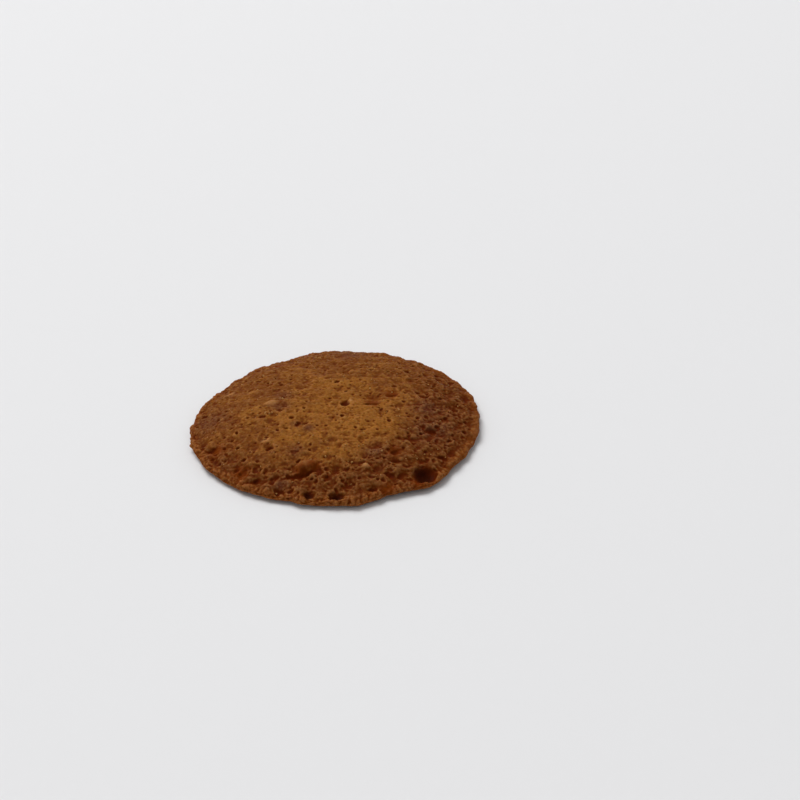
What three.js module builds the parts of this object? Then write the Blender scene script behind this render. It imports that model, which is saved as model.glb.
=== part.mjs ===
// A thin, round butter biscuit, lying top side up on its flat underside. The crown falls away to
// a thin, crumbly rim. Round the smooth part of the top, which is off centre, the crust is craggy,
// most of all at the front, and bubbles that burst in baking have left craters in it.
//
// Units are millimetres, +Z is up, and +X is to the right of someone who looks along +Y.
// The origin is under the middle of the biscuit, on the table.

import * as THREE from "three";
import { ImprovedNoise } from "three/addons/math/ImprovedNoise.js";

const { degToRad, lerp, seededRandom, smoothstep } = THREE.MathUtils;

// ---------------------------------------------------------------- driving dimensions

const RADIUS = 31.7; // mean, to the outermost edge of the rim
const CROWN = 6.2; // height of the middle of the top
const SHOULDER = 2.1; // height at which the top turns over into the rim
const DOME_POWER = 2.8; // the higher, the flatter the crown and the steeper its sides
const NOSE = 0.9; // how far the rounded rim stands out past the shoulder
const EDGE_LIFT = 0.5; // how far the rim's lower corner clears the table
const FLAT_SHARE = 0.84; // share of the underside's radius that lies on the table
const LEAST_THICKNESS = 0.9; // of biscuit left under a crater

const TOP_STEP = 0.9; // between neighbouring vertices on the top and round the rim
const UNDERSIDE_STEP = 1.9;
const RIM_ROWS = 4; // rows of faces from the shoulder to the rim's lower corner

// Noise by its size, which is how far apart its bumps are, its height, and the slice of the noise
// that it is cut from: swells and crumb on the top, large and small dents in the outline, crumb on
// the rim, and an uneven lift of the edge.
const SWELL = { size: 11, height: 0.28, slice: 0 };
const CRUMB = { size: 3.2, height: 0.1, craggyHeight: 0.4, slice: 9 };
const LARGE_DENTS = { size: 5, height: 0.2, slice: 3 };
const SMALL_DENTS = { size: 2.1, height: 0.24, slice: 6 };
const RIM_CRUMB = { size: 1.9, height: 0.24, slice: 0 };
const RIM_CRUMB_WRAP = 6; // how far the rim's crumb runs through the noise, from top to bottom
const UNEVEN_LIFT = { size: 8, height: 0.2, slice: 12 };
const NOISE_ORIGIN = new THREE.Vector3(31.7, 17.3, 5.1); // keeps its grid off the middle
const NOISE_GAIN = 1.4; // as the noise by itself reaches only about 0.7

// The smooth part of the top, and where the crust bubbled most outside it
const SMOOTH_MIDDLE = { x: -5, y: 3 };
const SMOOTH_REACH = 20.5; // where the cragginess starts
const CRAGGY_REACH = 28; // where it is full
const CRAGGIEST = degToRad(290); // the direction of its middle, from +X towards +Y
const CRAG_ENDS = { none: -0.7, full: 0.1 }; // as the cosine of the angle from that direction

// Where the outline swells (+) or is flat or dented (-): the middle and the half-width of the
// stretch in degrees, counted from +X towards +Y, and how far it departs from the mean radius.
const OUTLINE = [
  { at: 45, spread: 25, by: -0.3 },
  { at: 66, spread: 8, by: 0.6 },
  { at: 88, spread: 18, by: 0.4 },
  { at: 109, spread: 4, by: -0.4 },
  { at: 139, spread: 12, by: -0.7 },
  { at: 163, spread: 6, by: -0.3 },
  { at: 182, spread: 20, by: 0.7 },
  { at: 208, spread: 8, by: 0.4 },
  { at: 246, spread: 7, by: -0.5 },
  { at: 273, spread: 7, by: 0.6 },
  { at: 291, spread: 7, by: -0.6 },
  { at: 306, spread: 9, by: 1.4 },
];

// The craters that can be told apart: where the middle is, the half-width along and across the
// long way, which way that runs in degrees, and the depth, which is below 0 on a fold.
const LANDMARKS = [
  { x: 18.4, y: -24.5, along: 2.6, across: 2.0, turn: 50, depth: 1.5 },
  { x: -0.9, y: -29.9, along: 1.8, across: 1.3, turn: 0, depth: 1.0 },
  { x: -8.0, y: -23.0, along: 4.0, across: 0.9, turn: 11, depth: 0.7 },
  { x: -6.2, y: -20.7, along: 2.8, across: 1.3, turn: 6, depth: -0.4 },
  { x: -12.2, y: -26.6, along: 2.4, across: 1.1, turn: -10, depth: 0.8 },
  { x: -6.9, y: -28.8, along: 1.7, across: 1.1, turn: -5, depth: 0.7 },
  { x: -26.7, y: -9.9, along: 2.0, across: 1.2, turn: 110, depth: 0.8 },
  { x: -23.6, y: -14.1, along: 1.2, across: 1.0, turn: 20, depth: 0.5 },
  { x: -21.2, y: -19.0, along: 2.1, across: 1.6, turn: -40, depth: 0.7 },
  { x: -14.7, y: -13.5, along: 1.2, across: 1.0, turn: 0, depth: 0.45 },
  { x: 2.6, y: 1.9, along: 1.4, across: 1.1, turn: 60, depth: 0.3 },
  { x: 8.0, y: 0.9, along: 2.1, across: 1.0, turn: 5, depth: 0.3 },
  { x: 12.0, y: -17.8, along: 1.2, across: 0.9, turn: 20, depth: 0.4 },
  { x: 15.2, y: -13.0, along: 1.9, across: 1.2, turn: 5, depth: 0.35 },
  { x: 0.9, y: -27.6, along: 2.3, across: 1.0, turn: 8, depth: 0.8 },
  { x: 6.9, y: -28.5, along: 1.2, across: 1.0, turn: 30, depth: 0.6 },
  { x: 13.0, y: 4.8, along: 1.9, across: 1.4, turn: 60, depth: 0.3 },
];

// The smaller craters, which a seeded draw scatters
const SMALL_CRATERS = { count: 110, seed: 7, half: [0.9, 1.6], depth: [0.2, 0.6] };
const MOST_STRETCH = 1.5; // the long way of a small crater, for its short way
const LEAST_CHANCE = 0.1; // of a crater on the smooth part, for one on the craggy part
const CRATER_REACH = 0.96; // share of the radius that craters come out to

// A crater's section: a bowl, and round it a low lip
const BOWL_POWER = 0.85; // 1 is a parabola, and the lower, the steeper the wall
const LIP = { height: 0.16, at: 1.25, width: 0.3 }; // shares of the depth and the half-width

// ---------------------------------------------------------------- relief

const perlin = new ImprovedNoise();

// Smooth noise, from about -height to +height.
function noise({ size, height, slice }, x, y, z = 0) {
  const place = new THREE.Vector3(x, y, z + slice).divideScalar(size).add(NOISE_ORIGIN);
  return NOISE_GAIN * height * perlin.noise(...place);
}

// How craggy the crust is at x, y: 0 on the smooth part of the top, and up to 1 outside it.
function cragginess(x, y) {
  const away = Math.hypot(x - SMOOTH_MIDDLE.x, y - SMOOTH_MIDDLE.y);
  const facing = Math.cos(Math.atan2(y, x) - CRAGGIEST);
  const outside = smoothstep(away, SMOOTH_REACH, CRAGGY_REACH);
  return outside * smoothstep(facing, CRAG_ENDS.none, CRAG_ENDS.full);
}

function scatterCraters({ count, seed, half, depth }) {
  seededRandom(seed);
  const craters = [];
  while (craters.length < count) {
    const angle = seededRandom() * 2 * Math.PI;
    const reach = CRATER_REACH * RADIUS * Math.sqrt(seededRandom());
    const [x, y] = [reach * Math.cos(angle), reach * Math.sin(angle)];
    const chance = lerp(LEAST_CHANCE, 1, cragginess(x, y));
    if (seededRandom() > chance) continue;
    const across = lerp(...half, seededRandom() ** 2);
    const along = across * lerp(1, MOST_STRETCH, seededRandom());
    const turn = seededRandom() * 180;
    craters.push({ x, y, along, across, turn, depth: chance * lerp(...depth, seededRandom()) });
  }
  return craters;
}

const CRATERS = [...LANDMARKS, ...scatterCraters(SMALL_CRATERS)];

// How far a crater raises or lowers the top at x, y.
function craterRelief({ x: cx, y: cy, along, across, turn, depth }, x, y) {
  const [c, s] = [Math.cos(degToRad(turn)), Math.sin(degToRad(turn))];
  const [dx, dy] = [x - cx, y - cy];
  const from = Math.hypot((dx * c + dy * s) / along, (dy * c - dx * s) / across);
  const bowl = Math.max(0, 1 - from ** 2) ** BOWL_POWER;
  const lip = LIP.height * Math.exp(-(((from - LIP.at) / LIP.width) ** 2));
  return depth * (lip - bowl);
}

// Swells, crumb and craters together.
function relief(x, y) {
  const height = lerp(CRUMB.height, CRUMB.craggyHeight, cragginess(x, y));
  const crumb = noise({ ...CRUMB, height }, x, y);
  const craters = CRATERS.reduce((sum, crater) => sum + craterRelief(crater, x, y), 0);
  return noise(SWELL, x, y) + crumb + craters;
}

// ---------------------------------------------------------------- form

// The rim's distance from the middle, in the direction `angle`.
function outline(angle) {
  const [x, y] = [RADIUS * Math.cos(angle), RADIUS * Math.sin(angle)];
  let radius = RADIUS + noise(LARGE_DENTS, x, y) + noise(SMALL_DENTS, x, y);
  for (const { at, spread, by } of OUTLINE) {
    const turn = (angle - degToRad(at) + 3 * Math.PI) % (2 * Math.PI);
    radius += by * Math.exp(-(((turn - Math.PI) / degToRad(spread)) ** 2));
  }
  return radius;
}

// A point of the top, at `share` of the way from the middle to the shoulder.
function onTop(share, angle) {
  const radius = share * (outline(angle) - NOSE);
  const [x, y] = [radius * Math.cos(angle), radius * Math.sin(angle)];
  const dome = lerp(CROWN, SHOULDER, share ** DOME_POWER);
  const least = underside(share, angle).z + LEAST_THICKNESS;
  return new THREE.Vector3(x, y, Math.max(least, dome + relief(x, y)));
}

// A point of the underside, flat out to FLAT_SHARE and then lifting towards the rim.
function underside(share, angle) {
  const radius = share * (outline(angle) - NOSE);
  const [x, y] = [radius * Math.cos(angle), radius * Math.sin(angle)];
  const lift = EDGE_LIFT + noise(UNEVEN_LIFT, x, y);
  return new THREE.Vector3(x, y, lift * smoothstep(share, FLAT_SHARE, 1) ** 2);
}

// A point of the rounded rim, from `turn` 0 at the shoulder to 1 at the lower corner.
function onRim(turn, angle) {
  const [high, low] = [onTop(1, angle), underside(1, angle)];
  const crumb = noise(RIM_CRUMB, high.x, high.y, RIM_CRUMB_WRAP * turn);
  const radius = Math.hypot(high.x, high.y) + (NOSE + crumb) * Math.sin(Math.PI * turn);
  const z = lerp(low.z, high.z, (1 + Math.cos(Math.PI * turn)) / 2);
  return new THREE.Vector3(radius * Math.cos(angle), radius * Math.sin(angle), z);
}

// ---------------------------------------------------------------- mesh

// The rings of vertices, from the middle of the top, round the rim, to the middle of the
// underside. Each has its own number of vertices, so that the faces are of like size.
function rings() {
  const around = (radius, step) => Math.max(1, Math.round((2 * Math.PI * radius) / step));
  const reach = RADIUS - NOSE;
  const topRows = Math.round(reach / TOP_STEP);
  const undersideRows = Math.round(reach / UNDERSIDE_STEP);
  const made = [];
  for (let row = 0; row <= topRows; row++) {
    const share = row / topRows;
    made.push({ count: around(share * reach, TOP_STEP), point: (a) => onTop(share, a) });
  }
  for (let row = 1; row < RIM_ROWS; row++) {
    const turn = row / RIM_ROWS;
    made.push({ count: around(reach, TOP_STEP), point: (a) => onRim(turn, a) });
  }
  for (let row = undersideRows; row >= 0; row--) {
    const share = row / undersideRows;
    const step = row === undersideRows ? TOP_STEP : UNDERSIDE_STEP;
    made.push({ count: around(share * reach, step), point: (a) => underside(share, a) });
  }
  return made;
}

// Triangles between two neighbouring rings, which may hold different numbers of vertices.
function stitch(triangles, ring, next) {
  const steps = (r) => (r.count === 1 ? 0 : r.count);
  for (let i = 0, j = 0; i < steps(ring) || j < steps(next); ) {
    const here = ring.start + (i % ring.count);
    const there = next.start + (j % next.count);
    const nextLags = (j + 0.5) * ring.count <= (i + 0.5) * next.count;
    if (j < steps(next) && (i === steps(ring) || nextLags)) {
      j++;
      triangles.push(here, there, next.start + (j % next.count));
    } else {
      i++;
      triangles.push(here, there, ring.start + (i % ring.count));
    }
  }
}

function biscuitGeometry() {
  const positions = [];
  const triangles = [];
  let last = null;
  for (const ring of rings()) {
    ring.start = positions.length / 3;
    for (let n = 0; n < ring.count; n++)
      positions.push(...ring.point((2 * Math.PI * n) / ring.count));
    if (last) stitch(triangles, last, ring);
    last = ring;
  }
  return new THREE.BufferGeometry()
    .setAttribute("position", new THREE.Float32BufferAttribute(positions, 3))
    .setIndex(triangles);
}

// ---------------------------------------------------------------- assembly

const crust = new THREE.MeshStandardMaterial({ color: "#8f5a26", roughness: 0.62, metalness: 0 });

const biscuit = new THREE.Mesh(biscuitGeometry(), crust);
biscuit.name = "biscuit";

// The outline is uneven, so the biscuit is moved to centre its bounding box on the origin.
biscuit.geometry.computeBoundingBox();
const middle = biscuit.geometry.boundingBox.getCenter(new THREE.Vector3());
biscuit.position.set(-middle.x, -middle.y, 0);

const group = new THREE.Group();
group.add(biscuit);

export default group;
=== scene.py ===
"""A thin butter biscuit: its solid, refined into crumb, pores and burst bubbles, and baked brown.

The fine surface is made from the solid's own mesh. Each of its triangles is split into sixteen
and the facets are smoothed away. Then relief too fine for the solid is pressed in or raised,
straight out of the surface. How far out a point lies decides how brown it has baked. How deep it
ends up below its surroundings darkens it, partly as a darker bake and partly as painted shade,
and where it stands out it gets a paler colour with a painted highlight.

Blender's units are metres, but the relief is worked out in millimetres.
"""

import math

import bmesh
import bpy
import numpy as np
from mathutils import Euler, Matrix, Quaternion, Vector, kdtree, noise


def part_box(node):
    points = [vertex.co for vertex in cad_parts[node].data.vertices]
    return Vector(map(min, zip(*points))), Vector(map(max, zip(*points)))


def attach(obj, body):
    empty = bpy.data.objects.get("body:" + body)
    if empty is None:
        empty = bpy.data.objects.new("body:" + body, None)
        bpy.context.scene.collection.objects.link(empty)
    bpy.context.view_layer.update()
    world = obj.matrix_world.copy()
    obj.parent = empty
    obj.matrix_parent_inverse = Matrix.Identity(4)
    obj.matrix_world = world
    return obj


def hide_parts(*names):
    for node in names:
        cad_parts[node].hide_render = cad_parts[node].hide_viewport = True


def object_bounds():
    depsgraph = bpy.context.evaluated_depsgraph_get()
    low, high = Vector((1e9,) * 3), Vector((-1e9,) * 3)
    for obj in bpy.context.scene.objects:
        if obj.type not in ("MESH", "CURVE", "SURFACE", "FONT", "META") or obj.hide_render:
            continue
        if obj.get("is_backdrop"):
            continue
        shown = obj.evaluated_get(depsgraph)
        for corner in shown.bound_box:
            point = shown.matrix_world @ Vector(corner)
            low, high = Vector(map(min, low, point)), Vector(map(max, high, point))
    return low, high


MM = 0.001

# The photograph's camera, and where the biscuit is in its picture
PHOTO_PX = 800
BISCUIT_PX = (336.2, 430.3)  # where the middle of its underside falls
BISCUIT_WIDTH_PX = 291.3
ELEVATION = math.radians(31.5)
ROLL = math.radians(3.7)
LENS_MM = 110.0
SENSOR_MM = 36.0

# The studio, in metres
SOFTBOX_PLACE = (-0.9, 1.2, 2.6)
SOFTBOX_SIZE = 2.4
SOFTBOX_WATTS = 69
SKY_STRENGTH = 0.41
FLOOR_RINGS = (0.3, 0.8, 1.6)  # of the flat floor
BACKDROP_RADIUS = 1.4  # of the curve in which the floor rises beyond them
BACKDROP_ANGLES = (0.15, 1.4, 8)  # the first and the last on that curve, and how many
FLOOR_SIDES = 48
FLOOR_GAP = 0.03 * MM  # that keeps the floor off the underside

# From here on, every length is in millimetres.
WELD = 0.001  # within which the solid's corners are one
SPLITS = 2  # of each triangle into four
FACET_ROUNDING = 24  # smoothing passes that take the solid's facets away
UNDERSIDE_ROUGHNESS = 0.25  # share of the top's relief
HEADROOM = 0.16  # how far the crumb may stand above the crown
FOOTROOM = 0.6  # that the bowls leave above the table
LEAST_ROOM = 0.1  # for a bowl where the biscuit is thinner

# The surface counts as top from the second of these on, as the upward share of its normal, and as
# underside up to the first.
TOP_FACES = (-0.35, 0.15)
LIP_FACES = (-0.9, -0.2)  # the same for the rim, whose underside is beaded too
BOWL_FACES = 0.3  # least upward share where a bowl needs footroom

# The smooth part of the top is off centre. Past its edge the crust is craggy, most of all in the
# direction given here, as an angle from +X towards +Y. Its ends are cosines of the angle from it.
SMOOTH_MIDDLE = (-5.0, 3.0)
SMOOTH_REACH = (20.5, 28.0)  # where the cragginess starts, and where it is full
CRAG_AT = math.radians(290)
CRAG_ENDS = (-0.7, 0.1)

# The rim. Its places are shares of the way out, and its ends are such cosines too.
LIP_STARTS = (0.93, 0.97)
POCKETS_END = (0.955, 0.985)
RAGGED_AT = math.radians(235)  # where the rim is most ragged
RAGGED_ENDS = (-0.3, 0.6)
LEAST_RAGGED = 0.3
RIM_STEPS = 180  # directions in which the rim's distance is measured

# The crumb: how large each kind of bump is, and how high it stands on the smooth part of the
# crust, on the craggy part and along the rim
BUMP_SIZES = dict(swell=2.3, lumps=1.7, large=1.4, small=0.9, fine=0.9, grit=0.5)
SMOOTH_CRUMB = dict(swell=0.24, lumps=0.09, small=0.06, fine=0.05, grit=0.05)
CRAGGY_CRUMB = dict(swell=0.42, lumps=0.36, large=0.08, small=0.04, grit=0.03)
RIM_CRUMB = dict(swell=0.4, lumps=0.55, large=0.25, small=0.06, fine=0.1, grit=0.04)
RIM_RISE = 0.1
BUMP_WARP = 0.6  # how far the lumps and grains are pulled out of shape
LUMPS_MEAN = 0.6
GRAINS_MEAN = 0.5
CREASES = 2  # how narrow the creases between the grains are
UNEVEN = dict(size=5, share=0.9)  # the patches in which the fine bumps are stronger and weaker
FINE_KINDS = ("small", "fine", "grit")
EXTRA_GRAIN = 0.55  # of the fine bumps, towards the rim where it isn't craggy
EXTRA_GRAIN_STARTS = (0.5, 0.9)  # as shares of the way out

# Burst bubbles. Each kind has a number, a least and a greatest half-width, a depth for its
# half-width, a power that shapes its bowl, where 1 is a parabola and more is softer at the edge,
# and how common it is away from the craggy part of the crust, where it is 1.
BURSTS = [
    dict(count=340, small=0.7, large=1.8, deep=0.17, power=1.6, elsewhere=4.0),
    dict(count=30, small=0.7, large=1.2, deep=0.45, power=1.2, elsewhere=0.03),
    dict(count=240, small=0.36, large=0.75, deep=0.85, power=1.4, elsewhere=0.12),
    dict(count=800, small=0.24, large=0.4, deep=0.9, power=1.4, elsewhere=0.5),
]
# Blisters that haven't burst, in the same terms, with a height for a depth
BLISTERS = dict(count=380, small=0.35, large=0.9, deep=0.3, power=1.3, elsewhere=2.5)
SMALL_ONES = 1.5  # 1 draws all sizes of a kind alike, and more draws more small ones
DEPTH_SPREAD = (0.6, 1.1)  # of a kind's bubbles, as shares of its depth
BURST_EDGE = dict(size=0.7, share=0.45)  # how ragged the bubbles' edges are
BURST_REACH = 1.6  # how far the most ragged edge comes out, in half-widths
SEED = 5

# The craters that can be told apart: x and y of the middle, half-width along and across the long
# way, which way that runs in degrees, and the depth beyond that of the solid. A blister or a fold
# has a depth below 0.
POCKETS = [
    (18.4, -24.6, 3.0, 2.5, 50, 1.2),
    (-0.9, -30.0, 1.6, 1.1, 0, 0.45),
    (-8.3, -22.9, 3.9, 0.5, 11, 0.9),
    (-14.5, -22.8, 3.2, 0.5, 6, 0.25),
    (-6.6, -20.6, 2.8, 1.2, 8, -0.6),
    (-12.8, -26.5, 1.0, 0.8, 0, 0.5),
    (-10.3, -27.1, 0.8, 0.6, 0, 0.6),
    (-6.8, -29.0, 1.5, 0.9, 0, 0.4),
    (-26.9, -9.5, 1.7, 0.9, 100, 0.2),
    (-27.2, -13.2, 1.3, 1.1, 125, -0.35),
    (-23.2, -14.4, 1.4, 1.1, 60, -0.25),
    (-21.4, -18.8, 1.7, 1.3, -40, 0.1),
    (-18.3, -22.6, 1.5, 0.7, 10, 0.45),
    (-14.4, -23.8, 0.7, 0.6, 0, 0.7),
    (-14.6, -13.6, 0.8, 0.7, 0, 0.6),
    (-15.0, -11.0, 1.4, 1.0, 0, -0.25),
    (-16.0, -1.2, 1.1, 0.8, 0, 0.4),
    (-6.6, -5.7, 1.0, 0.7, 0, 0.3),
    (0.9, 11.0, 0.7, 0.7, 0, 0.7),
    (2.3, 1.6, 1.2, 1.0, 70, 0.85),
    (3.4, 2.3, 0.7, 0.6, 0, -0.3),
    (8.1, 0.5, 1.8, 0.5, 4, 0.8),
    (12.8, 4.2, 1.4, 0.5, 10, 0.4),
    (12.0, -17.9, 0.8, 0.6, 0, 0.7),
    (15.3, -12.9, 1.4, 0.8, 0, 0.4),
    (-2.5, -22.5, 0.7, 0.6, 0, 0.8),
    (-2.3, -24.8, 0.8, 0.8, 0, 0.8),
    (0.9, -27.7, 2.1, 0.7, 12, 0.25),
    (6.9, -28.6, 0.9, 0.6, 30, 0.6),
    (10.5, -24.3, 0.9, 0.6, 0, 0.6),
    (13.1, -24.9, 1.4, 1.0, 30, 0.4),
    (14.5, -22.4, 0.8, 0.4, 15, 0.6),
    (5.0, -21.0, 0.9, 0.7, 0, 0.4),
    (5.8, -22.4, 0.8, 0.8, 0, -0.25),
    (20.6, -11.8, 2.0, 1.4, 60, 0.4),
    (22.0, -18.4, 1.1, 0.8, 0, 0.7),
    (17.8, -20.6, 1.0, 0.8, 0, 0.5),
    (-14.0, 3.7, 1.7, 0.8, 5, -0.75),
    (-23.4, 12.4, 2.2, 0.6, 50, -0.35),
    (-9.6, 20.7, 2.2, 0.5, 0, 0.4),
]
POCKET_SPREAD = 1.25  # how far the soft edge reaches, in half-widths
POCKET_POWER = 1.4
POCKET_SHIFT = dict(size=1.2, reach=0.35)  # of the crust sideways, so that no edge is an ellipse

# The pinholes that can be told apart, as the place of each
PINHOLES = [
    (-6.7, 0.2), (-14.6, 14.7), (-16.9, 16.8), (-12.8, -7.5), (-21.6, -5.8), (-22.7, -8.0),
    (-25.8, 1.5), (9.3, 25.6), (8.7, 16.8), (12.5, 16.1), (15.3, 22.4), (17.6, 3.3), (20.5, 3.7),
    (21.7, -1.3), (-1.9, 25.8), (3.3, 15.2), (10.1, -1.7), (-19.1, -0.8), (-6.0, -15.4),
    (-21.4, -11.4), (-5.9, -24.8), (8.1, -26.1), (18.3, -10.7), (-11.1, 6.0), (-8.4, -6.3),
]
PINHOLE_HALF_WIDTH = 0.5
PINHOLE_DEPTH = 0.6

# A hollow starts to have each effect at the first depth, and has it in full from the second on.
CALM_DEPTHS = (0.25, 0.6)  # it calms the crumb on it, as a fold does
CALM_SHARE = 0.7  # of the crumb's height, which is lost in a full calm
BLISTER_DEPTHS = (0.1, 0.4)  # it keeps blisters off
# A pit is painted darker, partly as a darker bake and partly as painted shade.
PIT_DEPTHS = (0.1, 0.6)  # it counts as a pit in the browning
SHARED_DEPTH = 0.5  # how much less a bubble adds where there is a crater 1 mm deep already

# Sugar grains
SUGAR_COUNT = 110
SUGAR_SIZE = (0.2, 0.4)
SUGAR_FLATNESS = (0.5, 1)  # their other two sides, as shares of the first
SUGAR_RISE = 0.05  # of the middle above the crust, as a share of the size
SUGAR_FACES = (0.5, 0.9)  # as with TOP_FACES
SUGAR_SEED = 11

# Darkening in the hollows, partly a darker bake and partly painted shade, and a paler colour with a
# painted highlight on the ridges. The passes smooth the surface, what lies below the smoothed one is
# a hollow, and the span is the depth between the highest ridge and the lowest hollow that the colour
# tells apart.
HOLLOWS = dict(
    hollow=dict(passes=5, span=0.2),
    dip=dict(passes=18, span=0.4),
    crater=dict(passes=50, span=1.2),
)
HALO_PASSES = 12  # that spread the depth of the bubbles over the crust round them
HALO_DEPTH = 0.5  # which gives a full halo

# Where the top is most golden, and how far that reaches
GOLDEN_AT = (0.5, -4.5)
GOLDEN_REACH = 18.5

# Patches of another colour, as x and y of the middle and the half-width: baked to a deep orange,
# scorched to a duller brown, left pale, and painted dark as shade in the deepest craters
PATCHES = dict(
    orange=[
        (-8.0, -21.6, 1.5),
        (-5.6, -21.1, 1.7),
        (12.6, 4.6, 1.8),
        (12.0, -17.4, 1.7),
        (8.2, 1.0, 1.7),
        (10.1, -28.6, 1.8),
        (-12.0, 24.6, 1.6),
        (-26.0, -10.5, 2.2),
        (-21.0, -19.3, 2.2),
        (17.0, -26.5, 2.0),
    ],
    scorch=[
        (-11.3, 6.8, 2.2),
        (-12.0, 2.0, 2.0),
        (-8.6, -6.1, 1.2),
        (-6.0, -8.0, 1.5),
        (-27.5, 2.0, 3.5),
        (20.0, -1.0, 4.0),
        (20.5, -9.0, 4.5),
        (4.0, 27.0, 3.5),
        (8.0, -17.5, 2.8),
        (-9.0, -15.5, 2.0),
        (-12.5, -24.5, 1.6),
    ],
    pale=[
        (-14.0, 3.7, 1.7),
        (-15.4, -10.4, 1.2),
        (-23.4, 12.4, 1.4),
        (3.4, 2.3, 0.8),
        (5.8, -22.4, 0.9),
    ],
    crater_shade=[
        (17.8, -24.0, 2.5),
        (-0.9, -30.0, 1.5),
        (-6.8, -29.0, 1.2),
    ],
)


def srgb(red, green, blue):
    """A colour as the photograph shows it, from 0 to 255, as Blender's linear colour."""
    share = np.array([red, green, blue]) / 255
    linear = np.where(share <= 0.04045, share / 12.92, ((share + 0.055) / 1.055) ** 2.4)
    return (*map(float, linear), 1.0)


GOLD = srgb(136, 84, 29)
BROWN = srgb(109, 60, 17)
DEEP_BROWN = srgb(92, 44, 9)
LIP = srgb(116, 59, 15)
# The colour of the hollows: partly a darker bake and partly painted shade
HOLLOW_BAKE_AND_SHADE = srgb(84, 27, 1)
ORANGE = srgb(104, 44, 3)
SCORCH = srgb(90, 48, 27)
PALE = srgb(158, 108, 62)
# Painted shade in the deepest craters
CRATER_SHADE = srgb(46, 12, 1)
# Paler crumb where it stands out, with a painted highlight on it
RIDGE_PALE_AND_HIGHLIGHT = (0.070, 0.039, 0.015, 1.0)  # added to the colour where the crumb stands out
SUGAR = srgb(186, 138, 76)
MELTED_SUGAR = srgb(150, 92, 36)
FLOOR = srgb(229, 229, 230)
WHITE = (1, 1, 1, 1)


def smoothstep(low, high, value):
    t = np.clip((value - low) / (high - low), 0, 1)
    return t * t * (3 - 2 * t)


# ------------------------------------------------------------------------------ mesh helpers


def read_points(mesh):
    flat = np.empty(len(mesh.vertices) * 3)
    mesh.vertices.foreach_get("co", flat)
    return flat.reshape(-1, 3) / MM


def read_normals(mesh):
    flat = np.empty(len(mesh.vertices) * 3)
    mesh.vertex_normals.foreach_get("vector", flat)
    return flat.reshape(-1, 3)


def read_edges(mesh):
    flat = np.empty(len(mesh.edges) * 2, int)
    mesh.edges.foreach_get("vertices", flat)
    return flat.reshape(-1, 2)


def write_points(mesh, points):
    mesh.vertices.foreach_set("co", (points * MM).ravel())
    mesh.update()


def smoothed(points, edges, passes):
    """The points after that many passes, each of which moves them halfway to their neighbours."""
    counts = np.bincount(edges.ravel(), minlength=len(points))
    for _ in range(passes):
        near = [
            np.bincount(edges[:, 0], column[edges[:, 1]], len(points))
            + np.bincount(edges[:, 1], column[edges[:, 0]], len(points))
            for column in points.T
        ]
        points = 0.5 * (points + np.array(near).T / counts[:, None])
    return points


def store(mesh, name, values):
    """Keeps a number for each vertex, for the material to read."""
    attribute = mesh.attributes.new(name, "FLOAT", "POINT")
    attribute.data.foreach_set("value", values.astype(np.float32))


# ------------------------------------------------------------------------------ relief


def refined_solid(solid):
    """A new mesh with the solid's form, fine enough for the crumb, and without its facets."""
    made = bmesh.new()
    made.from_mesh(solid.data)
    bmesh.ops.remove_doubles(made, verts=made.verts, dist=WELD * MM)
    for _ in range(SPLITS):
        bmesh.ops.subdivide_edges(made, edges=made.edges, cuts=1, use_grid_fill=True)
    mesh = bpy.data.meshes.new("biscuit_crumb")
    made.to_mesh(mesh)
    made.free()
    edges = read_edges(mesh)
    once = smoothed(read_points(mesh), edges, FACET_ROUNDING)
    # Smoothing shrinks the form, so what a second smoothing takes away is added back.
    write_points(mesh, 2 * once - smoothed(once, edges, FACET_ROUNDING))
    return mesh


class Zones:
    """Where each point lies on the biscuit, mostly in shares from 0 to 1."""

    def __init__(self, points, normals):
        angle = np.arctan2(points[:, 1], points[:, 0])
        away = np.hypot(points[:, 0], points[:, 1])
        self.out = away / self.reach_at(angle, away)  # 0 in the middle, 1 at the rim
        self.top = smoothstep(*TOP_FACES, normals[:, 2])  # 0 on the underside
        toward = np.cos(angle - CRAG_AT)
        off_centre = np.hypot(*(points[:, :2] - SMOOTH_MIDDLE).T)
        self.crag = smoothstep(*SMOOTH_REACH, off_centre) * smoothstep(*CRAG_ENDS, toward)
        self.lip = smoothstep(*LIP_STARTS, self.out)  # 1 on the thin edge of the rim
        self.beads = self.lip * smoothstep(*LIP_FACES, normals[:, 2])
        toward = np.cos(angle - RAGGED_AT)
        self.ragged = LEAST_RAGGED + (1 - LEAST_RAGGED) * smoothstep(*RAGGED_ENDS, toward)
        # The strength of the fine bumps, from 1 up
        self.grain = 1 + EXTRA_GRAIN * smoothstep(*EXTRA_GRAIN_STARTS, self.out) * (1 - self.crag)

    @staticmethod
    def reach_at(angle, away):
        """How far out the rim is in each point's direction."""
        place = (angle / (2 * math.pi) % 1) * RIM_STEPS
        step = place.astype(int) % RIM_STEPS
        reach = np.zeros(RIM_STEPS)
        np.maximum.at(reach, step, away)
        return np.interp(place, np.arange(RIM_STEPS + 1) + 0.5, np.append(reach, reach[0]))


def grain_height(place, size):
    """Rounded grains of that size with creases between them, from 0 to 1."""
    return 1 - math.exp(-CREASES * (1 + noise.noise(place / size, noise_basis="VORONOI_F2F1")))


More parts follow.
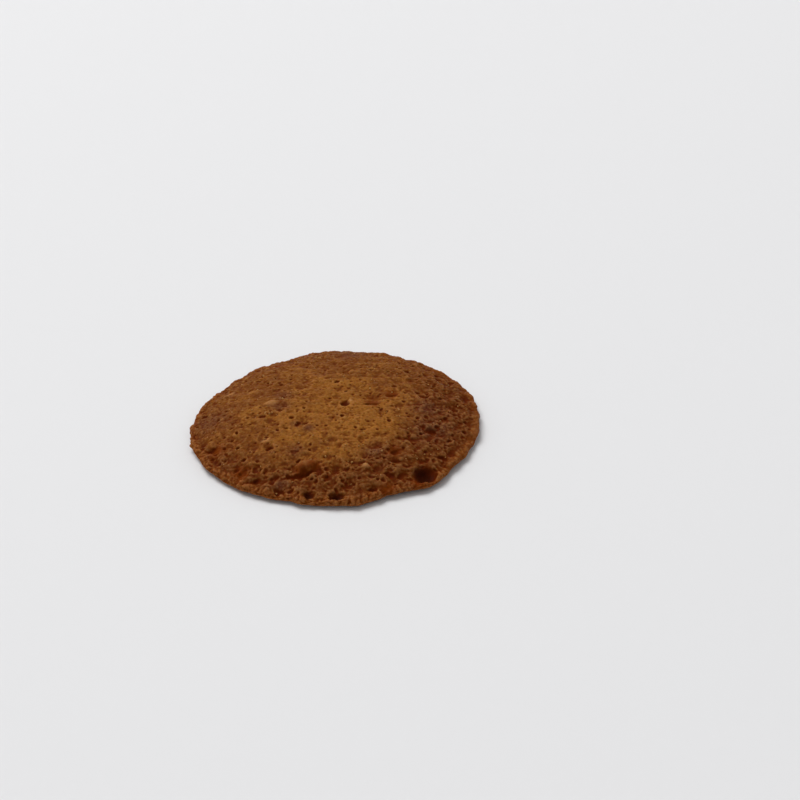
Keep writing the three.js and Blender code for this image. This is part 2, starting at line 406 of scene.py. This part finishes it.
def crumb_height(place, crag, rim, grain):
    """How high the crumb stands, where that much is craggy or rim and the grain is that strong."""
    warp = noise.noise_vector(place / BUMP_SIZES["lumps"]) * BUMP_WARP
    lumps = noise.turbulence((place + warp) / BUMP_SIZES["lumps"], 2, True, amplitude_scale=0.5)
    bumps = dict(
        swell=noise.noise(place / BUMP_SIZES["swell"]),
        lumps=lumps - LUMPS_MEAN,
        large=grain_height(place + warp, BUMP_SIZES["large"]) - GRAINS_MEAN,
        small=grain_height(place - 0.5 * warp, BUMP_SIZES["small"]) - GRAINS_MEAN,
        fine=noise.noise(place / BUMP_SIZES["fine"]),
        grit=noise.noise(place / BUMP_SIZES["grit"]),
    )
    beaded = RIM_RISE + sum(height * bumps[kind] for kind, height in RIM_CRUMB.items())
    strength = grain * (1 + UNEVEN["share"] * noise.noise(place / UNEVEN["size"]))
    for kind in FINE_KINDS:
        bumps[kind] *= strength
    smooth = sum(height * bumps[kind] for kind, height in SMOOTH_CRUMB.items())
    craggy = sum(height * bumps[kind] for kind, height in CRAGGY_CRUMB.items())
    height = smooth + (craggy - smooth) * crag
    return height + (beaded - height) * rim


def bowl(away, power):
    """The depth of a bowl, 1 in its middle and 0 where away is 1."""
    return np.clip(1 - away**2, 0, 1) ** power


def burst_depths(points, zones, draw, kind):
    """How deep the burst bubbles of one kind go into each point."""
    tree = kdtree.KDTree(len(points))
    for index, point in enumerate(points):
        tree.insert(point, index)
    tree.balance()
    edge = np.array([noise.noise(Vector(point) / BURST_EDGE["size"]) for point in points])
    ragged = 1 + BURST_EDGE["share"] * edge
    chance = zones.top * (kind["elsewhere"] + (1 - kind["elsewhere"]) * zones.crag) * (1 - zones.lip)
    depths = np.zeros(len(points))
    for centre in draw.choice(len(points), kind["count"], p=chance / chance.sum()):
        half = kind["small"] * (kind["large"] / kind["small"]) ** (draw.random() ** SMALL_ONES)
        found = tree.find_range(points[centre], BURST_REACH * half)
        near = np.array([index for _, index, _ in found])
        away = np.array([distance for _, _, distance in found]) / half * ragged[near]
        deep = kind["deep"] * half * draw.uniform(*DEPTH_SPREAD)
        depths[near] = np.maximum(depths[near], deep * bowl(away, kind["power"]))
    return depths


def pocket_depths(points, zones):
    """How deep the craters that can be told apart go, beyond the solid's own."""
    size = POCKET_SHIFT["size"]
    shift = np.array([noise.noise_vector(Vector(point) / size) for point in points])
    shifted = points + POCKET_SHIFT["reach"] * shift
    depth = np.zeros(len(points))
    for x, y, along, across, turn, deep in POCKETS:
        c, s = math.cos(math.radians(turn)), math.sin(math.radians(turn))
        dx, dy = shifted[:, 0] - x, shifted[:, 1] - y
        away = np.hypot((dx * c + dy * s) / along, (dy * c - dx * s) / across)
        depth += deep * bowl(away / POCKET_SPREAD, POCKET_POWER)
    for x, y in PINHOLES:
        away = np.hypot(shifted[:, 0] - x, shifted[:, 1] - y) / PINHOLE_HALF_WIDTH
        depth += PINHOLE_DEPTH * bowl(away, POCKET_POWER)
    return depth * zones.top * (1 - smoothstep(*POCKETS_END, zones.out))


def eased(height, limit):
    """The height, held ever more firmly the nearer it comes to the limit."""
    return limit * (1 - np.exp(-np.clip(height, 0, None) / limit))


def add_relief(mesh):
    points, normals = read_points(mesh), read_normals(mesh)
    zones = Zones(points, normals)
    draw = np.random.default_rng(SEED)
    noise.seed_set(SEED)  # or else noise_vector would change from run to run
    places = zip(points, zones.crag * (1 - zones.beads), zones.beads * zones.ragged, zones.grain)
    crumb = [crumb_height(Vector(point), *shares) for point, *shares in places]
    depth = pocket_depths(points, zones)
    rough = UNDERSIDE_ROUGHNESS + (1 - UNDERSIDE_ROUGHNESS) * zones.top
    calm = 1 - CALM_SHARE * smoothstep(*CALM_DEPTHS, np.abs(depth))
    height = np.array(crumb) * rough * calm
    for kind in BURSTS:
        share = 1 - SHARED_DEPTH * np.clip(depth, 0, 1)
        depth = depth + burst_depths(points, zones, draw, kind) * share
    blisters = burst_depths(points, zones, draw, BLISTERS)
    height += blisters * (1 - smoothstep(*BLISTER_DEPTHS, depth)) - depth
    zones.pit = smoothstep(*PIT_DEPTHS, depth)
    holes = np.clip(depth, 0, None)[:, None]
    zones.halo = np.clip(smoothed(holes, read_edges(mesh), HALO_PASSES)[:, 0] / HALO_DEPTH, 0, 1)
    # The deeper a bowl would come to the underside, the flatter it ends.
    footroom = np.maximum(points[:, 2] - FOOTROOM, LEAST_ROOM)
    sinks = (normals[:, 2] > BOWL_FACES) & (height < 0)
    height = np.where(sinks, -eased(-height, footroom), height)
    # Nothing stands out above the solid's crown by more than a hair.
    headroom = points[:, 2].max() + HEADROOM - points[:, 2]
    height = np.where(height > 0, eased(height, headroom), height)
    points += normals * height[:, None]
    points[:, 2] = np.maximum(points[:, 2], 0)
    write_points(mesh, points)
    return zones


def patch_share(points, places):
    """How strongly each point lies in one of the patches, from 0 to 1."""
    share = np.zeros(len(points))
    for x, y, reach in places:
        away = np.hypot(points[:, 0] - x, points[:, 1] - y) / reach
        share = np.maximum(share, np.exp(-(away**2)))
    return share


def store_bake_and_shade(mesh, zones):
    """Keeps what decides the colour of each point, from 0 to 1, or from 1 up for the grain."""
    points, normals, edges = read_points(mesh), read_normals(mesh), read_edges(mesh)
    for name in ("out", "crag", "grain", "pit", "halo"):
        store(mesh, name, getattr(zones, name))
    store(mesh, "golden", patch_share(points, [(*GOLDEN_AT, GOLDEN_REACH)]) * zones.top)
    for name, places in PATCHES.items():
        store(mesh, name, patch_share(points, places) * zones.top)
    for name, kind in HOLLOWS.items():
        below = ((smoothed(points, edges, kind["passes"]) - points) * normals).sum(1)
        store(mesh, name, np.clip(0.5 + below / kind["span"], 0, 1))


def sugar_mesh(mesh, zones):
    """Sugar grains that lie half sunk in the top, off its crown and out of its pits."""
    points, normals = read_points(mesh), read_normals(mesh)
    draw = np.random.default_rng(SUGAR_SEED)
    chance = smoothstep(*SUGAR_FACES, normals[:, 2]) * (1 - zones.lip) * (1 - zones.pit)
    chance *= points[:, 2] < points[:, 2].max() - SUGAR_SIZE[1]
    made = bmesh.new()
    for at in draw.choice(len(points), SUGAR_COUNT, p=chance / chance.sum()):
        size = draw.uniform(*SUGAR_SIZE)
        place = Matrix.Translation(Vector(points[at] + SUGAR_RISE * size * normals[at]) * MM)
        turn = Euler(draw.uniform(0, math.pi, 3)).to_matrix().to_4x4()
        sides = Matrix.Diagonal((size * MM, *draw.uniform(*SUGAR_FLATNESS, 2) * size * MM, 1))
        bmesh.ops.create_cube(made, size=1, matrix=place @ turn @ sides)
    grains = bpy.data.meshes.new("sugar_grains")
    made.to_mesh(grains)
    made.free()
    return grains


# ------------------------------------------------------------------------------ materials


class Nodes:
    """Short ways to add the nodes that a material here needs."""

    def __init__(self, name):
        self.material = bpy.data.materials.new(name)
        self.material.use_nodes = True
        self.tree = self.material.node_tree
        self.shader = self.tree.nodes["Principled BSDF"]

    def add(self, kind, values=None, **settings):
        node = self.tree.nodes.new(kind)
        for name, value in settings.items():
            setattr(node, name, value)
        for socket, value in (values or {}).items():
            self.plug(node.inputs[socket], value)
        return node

    def plug(self, socket, value):
        if isinstance(value, bpy.types.NodeSocket):
            self.tree.links.new(value, socket)
        else:
            socket.default_value = value

    def shade(self, **values):
        """Plugs values into the shader's sockets, whose names have spaces for underscores."""
        for name, value in values.items():
            self.plug(self.shader.inputs[name.replace("_", " ")], value)

    def stored(self, name):
        return self.add("ShaderNodeAttribute", attribute_name=name).outputs["Fac"]

    def noise(self, size, detail=2.0, roughness=0.5):
        """Soft noise from 0 to 1 with bumps about that many millimetres across."""
        place = self.add("ShaderNodeTexCoord").outputs["Object"]
        values = {"Vector": place, "Scale": 1 / (size * MM), "Detail": detail, "Roughness": roughness}
        return self.add("ShaderNodeTexNoise", values).outputs["Fac"]

    def spread(self, value, low, high, to_low=0.0, to_high=1.0):
        """value, spread so that low to high becomes to_low to to_high, and held between them."""
        values = {0: value, 1: low, 2: high, 3: to_low, 4: to_high}
        return self.add("ShaderNodeMapRange", values).outputs[0]

    def swing(self, value, low, high, reach):
        """value, spread so that low to high becomes reach below 0 to reach above it."""
        return self.spread(value, low, high, -reach, reach)

    def maths(self, operation, first, second):
        return self.add("ShaderNodeMath", {0: first, 1: second}, operation=operation).outputs[0]

    def plus(self, first, second):
        return self.maths("ADD", first, second)

    def times(self, first, second):
        return self.maths("MULTIPLY", first, second)

    def mix(self, share, first, second, blend="MIX"):
        node = self.add("ShaderNodeMix", data_type="RGBA", blend_type=blend)
        self.plug(node.inputs["Factor"], share)
        self.plug(node.inputs[6], first)
        self.plug(node.inputs[7], second)
        return node.outputs[2]

    def tinted(self, colour, tint, value, start, full, most, blend="MIX"):
        """colour, with none of the tint where value is at start and most of it from full on."""
        return self.mix(self.spread(value, start, full, 0.0, most), colour, tint, blend)


def crust_colour(n):
    """Golden to brown, then what its place, its patches and its own relief do to it, with shade
    painted into its hollows and deepest craters and a highlight painted onto its ridges.
    """
    blotches = n.swing(n.noise(7, detail=3), 0.3, 0.7, reach=0.35)
    mottle = n.swing(n.noise(2.4, detail=3, roughness=0.6), 0.35, 0.65, reach=0.35)
    golden = n.plus(n.stored("golden"), n.plus(blotches, mottle))
    colour = n.mix(n.spread(golden, 0.1, 0.9), BROWN, GOLD)
    colour = n.mix(n.times(n.stored("crag"), 0.85), colour, DEEP_BROWN)
    wavy_out = n.plus(n.stored("out"), n.swing(n.noise(1.6), 0.3, 0.7, reach=0.02))
    colour = n.tinted(colour, LIP, wavy_out, start=0.94, full=0.97, most=0.7)
    scorched = n.times(n.stored("scorch"), n.spread(mottle, -0.3, 0.2, to_low=0.5))
    colour = n.mix(scorched, colour, SCORCH)
    stains = n.noise(4.5, detail=4, roughness=0.65)
    colour = n.tinted(colour, SCORCH, stains, start=0.58, full=0.75, most=0.3)

    glow = n.plus(n.times(n.stored("halo"), 0.6), n.stored("orange"))
    glow = n.times(glow, n.spread(n.noise(2.5), 0.35, 0.6, to_low=0.3))
    colour = n.tinted(colour, ORANGE, glow, start=0.05, full=0.8, most=0.9)
    dip = n.stored("dip")
    # Darker in broad hollows and dips, partly a darker bake and partly painted shade
    colour = n.tinted(colour, HOLLOW_BAKE_AND_SHADE, n.stored("crater"), start=0.52, full=0.9, most=0.9)
    colour = n.tinted(colour, HOLLOW_BAKE_AND_SHADE, dip, start=0.5, full=0.9, most=0.65)
    # Paler, with a painted highlight, where the crumb stands out of the dips
    colour = n.tinted(colour, RIDGE_PALE_AND_HIGHLIGHT, dip, start=0.5, full=0.1, most=0.55, blend="ADD")
    colour = n.tinted(colour, PALE, n.stored("pale"), start=0.3, full=0.8, most=0.7)
    specks = n.swing(n.noise(0.5, detail=3, roughness=0.65), 0.25, 0.75, reach=0.35)
    detail = n.plus(n.stored("hollow"), n.times(specks, n.stored("grain")))
    # Darker in the fine hollows, partly a darker bake and partly painted shade, and in random specks
    colour = n.tinted(colour, HOLLOW_BAKE_AND_SHADE, detail, start=0.5, full=1.0, most=0.7)
    # Paler, with a painted highlight, on the fine ridges and random specks
    colour = n.tinted(colour, RIDGE_PALE_AND_HIGHLIGHT, detail, start=0.5, full=0.0, most=0.85, blend="ADD")
    colour = n.tinted(colour, ORANGE, n.stored("orange"), start=0.3, full=0.9, most=0.75)
    # Darker in the pits, partly a darker bake and partly painted shade
    colour = n.mix(n.times(n.stored("pit"), 0.8), colour, HOLLOW_BAKE_AND_SHADE)
    # Painted shade in the deepest craters, where their walls lie in shadow
    return n.tinted(colour, CRATER_SHADE, n.stored("crater_shade"), start=0.3, full=0.8, most=0.9)


def crust_material():
    n = Nodes("crust")
    n.shade(
        Base_Color=crust_colour(n),
        Roughness=n.spread(n.noise(0.8), 0.3, 0.7, to_low=0.45, to_high=0.8),
        IOR=1.2,
        Specular_IOR_Level=0.1,
        Subsurface_Weight=0.4,
        Subsurface_Radius=(1.0, 0.35, 0.08),
        Subsurface_Scale=0.7 * MM,
    )
    grain = n.noise(0.28, detail=3, roughness=0.65)
    bump = n.add("ShaderNodeBump", {"Strength": 0.7, "Distance": 0.1 * MM, "Height": grain})
    n.shade(Normal=bump.outputs[0])
    return n.material


def sugar_material():
    n = Nodes("sugar")
    n.shade(
        Base_Color=n.mix(n.spread(n.noise(1.5, detail=1), 0.35, 0.65), SUGAR, MELTED_SUGAR),
        Roughness=n.spread(n.noise(0.15), 0.3, 0.7, to_low=0.4, to_high=0.65),
        Specular_IOR_Level=0.12,
        Transmission_Weight=0.2,
    )
    return n.material


def floor_material():
    n = Nodes("floor")
    n.shade(Base_Color=FLOOR, Roughness=0.8, Specular_IOR_Level=0.1)
    return n.material


# ------------------------------------------------------------------------------ scene


def add_object(name, data):
    made = bpy.data.objects.new(name, data)
    bpy.context.scene.collection.objects.link(made)
    return made


def add_camera(width):
    """Sees the biscuit from the photograph's side, at the photograph's place and size."""
    focal_px = PHOTO_PX * LENS_MM / SENSOR_MM
    away = Vector((0, -math.cos(ELEVATION), math.sin(ELEVATION)))
    camera = add_object("camera", bpy.data.cameras.new("camera"))
    camera.data.lens = LENS_MM
    camera.data.sensor_width = SENSOR_MM
    camera.location = away * (focal_px * width / BISCUIT_WIDTH_PX)
    aim = [math.atan((px - PHOTO_PX / 2) / focal_px) for px in BISCUIT_PX]
    facing = away.to_track_quat("Z", "Y") @ Quaternion((0, 0, 1), -ROLL)
    camera.rotation_mode = "QUATERNION"
    camera.rotation_quaternion = facing @ Euler((aim[1], aim[0], 0)).to_quaternion()
    bpy.context.scene.camera = camera


def add_softbox():
    light = bpy.data.lights.new("overhead", "AREA")
    light.shape = "DISK"
    light.size = SOFTBOX_SIZE
    light.energy = SOFTBOX_WATTS
    lamp = add_object("overhead", light)
    lamp.location = SOFTBOX_PLACE
    lamp.rotation_mode = "QUATERNION"
    lamp.rotation_quaternion = Vector(SOFTBOX_PLACE).to_track_quat("Z", "Y")


def add_sweep():
    """A pale floor that curves up all round into a backdrop."""
    profile = [(reach, 0.0) for reach in FLOOR_RINGS]
    for a in np.linspace(*BACKDROP_ANGLES):
        reach = FLOOR_RINGS[-1] + BACKDROP_RADIUS * math.sin(a)
        profile.append((reach, BACKDROP_RADIUS * (1 - math.cos(a))))
    points, faces = [(0, 0, -FLOOR_GAP)], []
    for reach, rise in profile:
        for side in range(FLOOR_SIDES):
            a = 2 * math.pi * side / FLOOR_SIDES
            points.append((reach * math.cos(a), reach * math.sin(a), rise - FLOOR_GAP))
    for side in range(FLOOR_SIDES):
        beside = (side + 1) % FLOOR_SIDES
        faces.append((0, 1 + side, 1 + beside))
        for ring in range(len(profile) - 1):
            start, over = 1 + ring * FLOOR_SIDES, 1 + (ring + 1) * FLOOR_SIDES
            faces.append((start + side, over + side, over + beside, start + beside))
    mesh = bpy.data.meshes.new("floor")
    mesh.from_pydata(points, [], faces)
    mesh.shade_smooth()
    mesh.materials.append(floor_material())
    add_object("floor", mesh)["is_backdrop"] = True


def add_studio():
    world = bpy.data.worlds.new("studio")
    world.use_nodes = True
    sky = world.node_tree.nodes["Background"]
    sky.inputs["Color"].default_value = WHITE
    sky.inputs["Strength"].default_value = SKY_STRENGTH
    bpy.context.scene.world = world
    bpy.context.scene.view_settings.view_transform = "Standard"
    add_softbox()
    add_sweep()


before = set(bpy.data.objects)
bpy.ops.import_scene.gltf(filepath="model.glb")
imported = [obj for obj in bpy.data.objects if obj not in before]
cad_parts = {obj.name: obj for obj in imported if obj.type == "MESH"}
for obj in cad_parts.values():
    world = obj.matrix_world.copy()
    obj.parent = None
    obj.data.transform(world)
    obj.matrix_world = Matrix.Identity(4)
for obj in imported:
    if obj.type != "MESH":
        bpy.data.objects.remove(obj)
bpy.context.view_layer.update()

low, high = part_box("biscuit")
add_camera(high.x - low.x)
add_studio()

mesh = refined_solid(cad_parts["biscuit"])
zones = add_relief(mesh)
store_bake_and_shade(mesh, zones)
mesh.shade_smooth()
mesh.materials.append(crust_material())
biscuit = add_object("biscuit_crumb", mesh)
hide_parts("biscuit")
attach(biscuit, "root")

grains = sugar_mesh(mesh, zones)
grains.materials.append(sugar_material())
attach(add_object("sugar_grains", grains), "root")

low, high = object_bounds()
